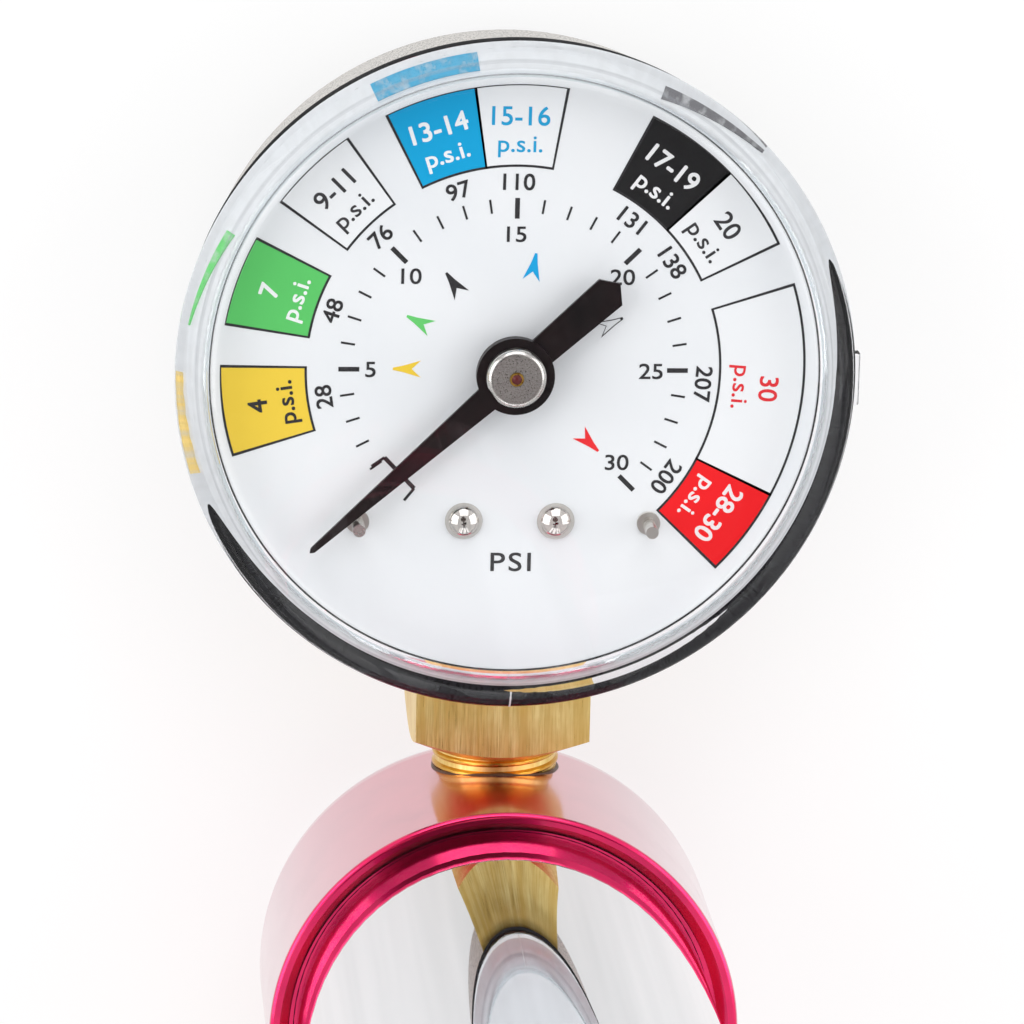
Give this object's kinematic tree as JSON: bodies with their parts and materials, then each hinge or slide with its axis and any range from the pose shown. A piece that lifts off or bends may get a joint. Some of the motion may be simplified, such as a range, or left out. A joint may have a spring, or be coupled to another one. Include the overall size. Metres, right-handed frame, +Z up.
{
  "type": "radiator pressure tester",
  "caption": "Hand pump for pressure testing a cooling system: upright barrel with T handle, valve head with outlet plug and release valve, and a dial pressure gauge screwed into its side.",
  "frame": {"origin": "middle of the base plug's resting face, on the barrel's axis", "axes": "+Z up the barrel towards the handle, +Y from the barrel to the gauge, whose dial faces +Z, and -Y along the outlet plug"},
  "size_m": [0.09, 0.1232, 0.1911],
  "materials": {
    "pink_anodised": "polished, dyed pink by anodising",
    "polished_aluminium": "mirror polished",
    "bright_steel": "bright steel",
    "enamelled_steel": "fine textured grey enamel on pressed steel",
    "machined_brass": "machined brass",
    "black_rubber": "nitrile rubber",
    "black_plastic": "moulded nylon, fine grain",
    "clear_lens": "clear moulded polycarbonate",
    "dial_white": "white baked enamel with printed scale",
    "pointer_black": "black enamel"
  },
  "bodies": {
    "pump": {"pump_head": "pink_anodised", "base_plug": "polished_aluminium", "check_spring": "bright_steel", "bleed_body": "machined_brass", "bleed_spring": "bright_steel", "outlet_plug": "machined_brass", "barrel_gasket": "black_rubber", "barrel": "polished_aluminium", "gland_cap": "pink_anodised", "rod_bush": "machined_brass", "gauge_stem": "machined_brass", "gauge_case": "enamelled_steel", "case_screws": "bright_steel", "relief_plug": "black_rubber", "gauge_lens": "clear_lens", "dial_plate": "dial_white", "dial_rivets": "bright_steel", "stop_pins": "bright_steel", "hairspring": "bright_steel", "movement_back": "machined_brass", "movement_front": "machined_brass", "movement_pillars": "machined_brass", "movement_screws": "bright_steel", "bourdon_tube": "machined_brass"},
    "plunger": {"plunger_rod": "bright_steel", "piston": "polished_aluminium", "piston_cup": "black_rubber", "cup_washer": "bright_steel", "piston_nut": "bright_steel", "bumper": "black_rubber", "handle": "black_plastic", "handle_nut": "bright_steel"},
    "needle": {"pointer": "pointer_black", "pointer_boss": "bright_steel", "pinion_arbor": "machined_brass"},
    "sector": {"sector_gear": "machined_brass", "sector_arbor": "bright_steel"},
    "tube_end": {"tube_tip": "machined_brass"},
    "link": {"tip_link": "bright_steel"},
    "valve_ball": {"check_ball": "bright_steel"},
    "release_button": {"bleed_button": "black_plastic", "bleed_seal": "black_rubber"}
  },
  "joints": [
    {"name": "plunger_slide", "type": "slide", "parent": "pump", "child": "plunger", "axis": [0, 0, 1], "range_m": [0, 0.11]},
    {"name": "sector_turn", "type": "hinge", "parent": "pump", "child": "sector", "pos_m": [-0.00342, 0.0439, 0.0117], "axis": [0, 0, 1], "range_deg": [0, 29.7], "stiffness_Nm_per_rad": 0.001, "springref_deg": -5.73},
    {"name": "pointer_turn", "type": "hinge", "parent": "pump", "child": "needle", "pos_m": [0, 0.0533, 0.0215], "axis": [0, 0, 1], "range_deg": [-267.3, 0], "deforming": ["hairspring"]},
    {"name": "tube_uncurl", "type": "slide", "parent": "pump", "child": "tube_end", "axis": [0.5878, 0.809, 0], "range_m": [0, 0.00292], "deforming": ["bourdon_tube"]},
    {"name": "link_swing", "type": "hinge", "parent": "tube_end", "child": "link", "pos_m": [0.01369, 0.04602, 0.0126], "axis": [0, 0, 1], "range_deg": [0, 0.858]},
    {"name": "valve_lift", "type": "slide", "parent": "pump", "child": "valve_ball", "axis": [0, 0, -1], "range_m": [0, 0.001], "stiffness_N_per_m": 30, "springref_m": -0.004, "deforming": ["check_spring"]},
    {"name": "release_press", "type": "slide", "parent": "pump", "child": "release_button", "axis": [0.7071, 0.7071, 0], "range_m": [0, 0.0018], "stiffness_N_per_m": 300, "springref_m": -0.004, "deforming": ["bleed_spring"]}
  ],
  "couplings": [
    {"joint": "pointer_turn", "follows": "sector_turn", "ratio": -9},
    {"joint": "tube_uncurl", "follows": "sector_turn", "m_per_rad": 0.0056349},
    {"joint": "link_swing", "follows": "sector_turn", "ratio": 0.028877}
  ]
}
